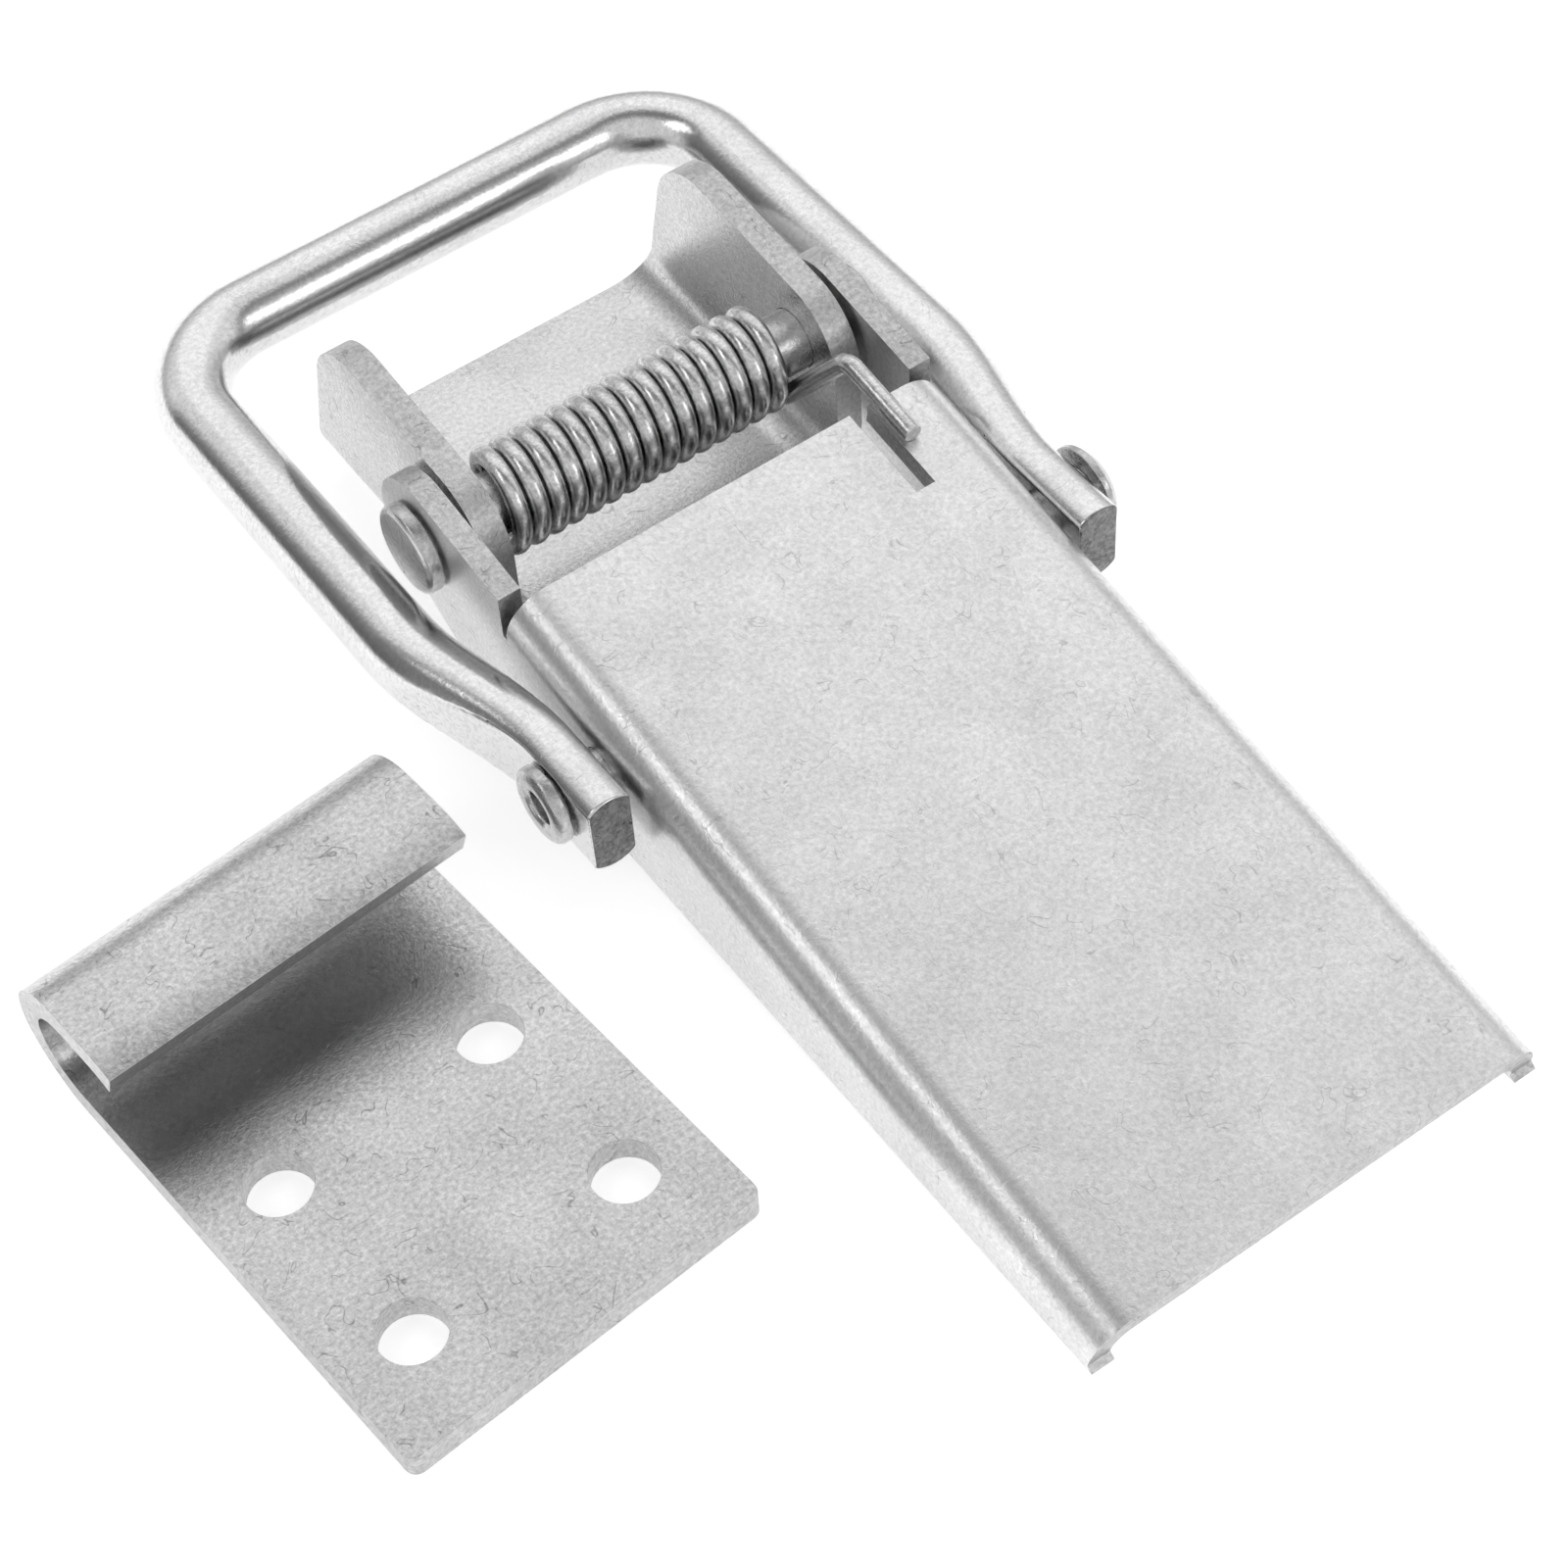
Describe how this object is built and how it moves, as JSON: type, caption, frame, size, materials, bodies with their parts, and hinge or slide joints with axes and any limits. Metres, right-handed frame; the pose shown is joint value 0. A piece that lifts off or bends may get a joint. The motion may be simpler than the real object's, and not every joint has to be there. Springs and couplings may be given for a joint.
{
  "type": "trailer door latch",
  "caption": "Over-centre door latch for trailers: a sprung lever on an eared base carries a round-bar bail that pulls on a separate rolled keeper plate.",
  "frame": {"origin": "middle of the base's four screw holes, on the face that lies against the door", "axes": "+X along the pivot pin to the side of the spring's slot, +Y from the lever's tail to the bail's crossbar, +Z away from the door"},
  "size_m": [0.1161, 0.1482, 0.0235],
  "materials": {
    "zinc_lever": "satin bright zinc plating",
    "zinc_base": "satin bright zinc plating",
    "zinc_bail": "glossy bright zinc plating on drawn rod",
    "zinc_keeper": "dull grained zinc plating with fine cracks and scratches",
    "zinc_pins": "satin zinc plating",
    "spring_wire": "bright drawn spring wire"
  },
  "bodies": {
    "base": {"base": "zinc_base", "pivot_pin": "zinc_pins", "torsion_spring": "spring_wire", "keeper": "zinc_keeper"},
    "lever": {"lever": "zinc_lever", "bail_rivet_left": "zinc_pins", "bail_rivet_right": "zinc_pins"},
    "bail": {"bail": "zinc_bail"}
  },
  "joints": [
    {"name": "lever_pivot", "type": "hinge", "parent": "base", "child": "lever", "pos_m": [0, 0.037, 0.015], "axis": [-1, 0, 0], "range_deg": [0, 130], "stiffness_Nm_per_rad": 0.3, "springref_deg": -85.94, "deforming": ["torsion_spring"]},
    {"name": "bail_pivot", "type": "hinge", "parent": "lever", "child": "bail", "pos_m": [0, 0.0067, 0.0106], "axis": [1, 0, 0], "range_deg": [-4, 178]}
  ]
}
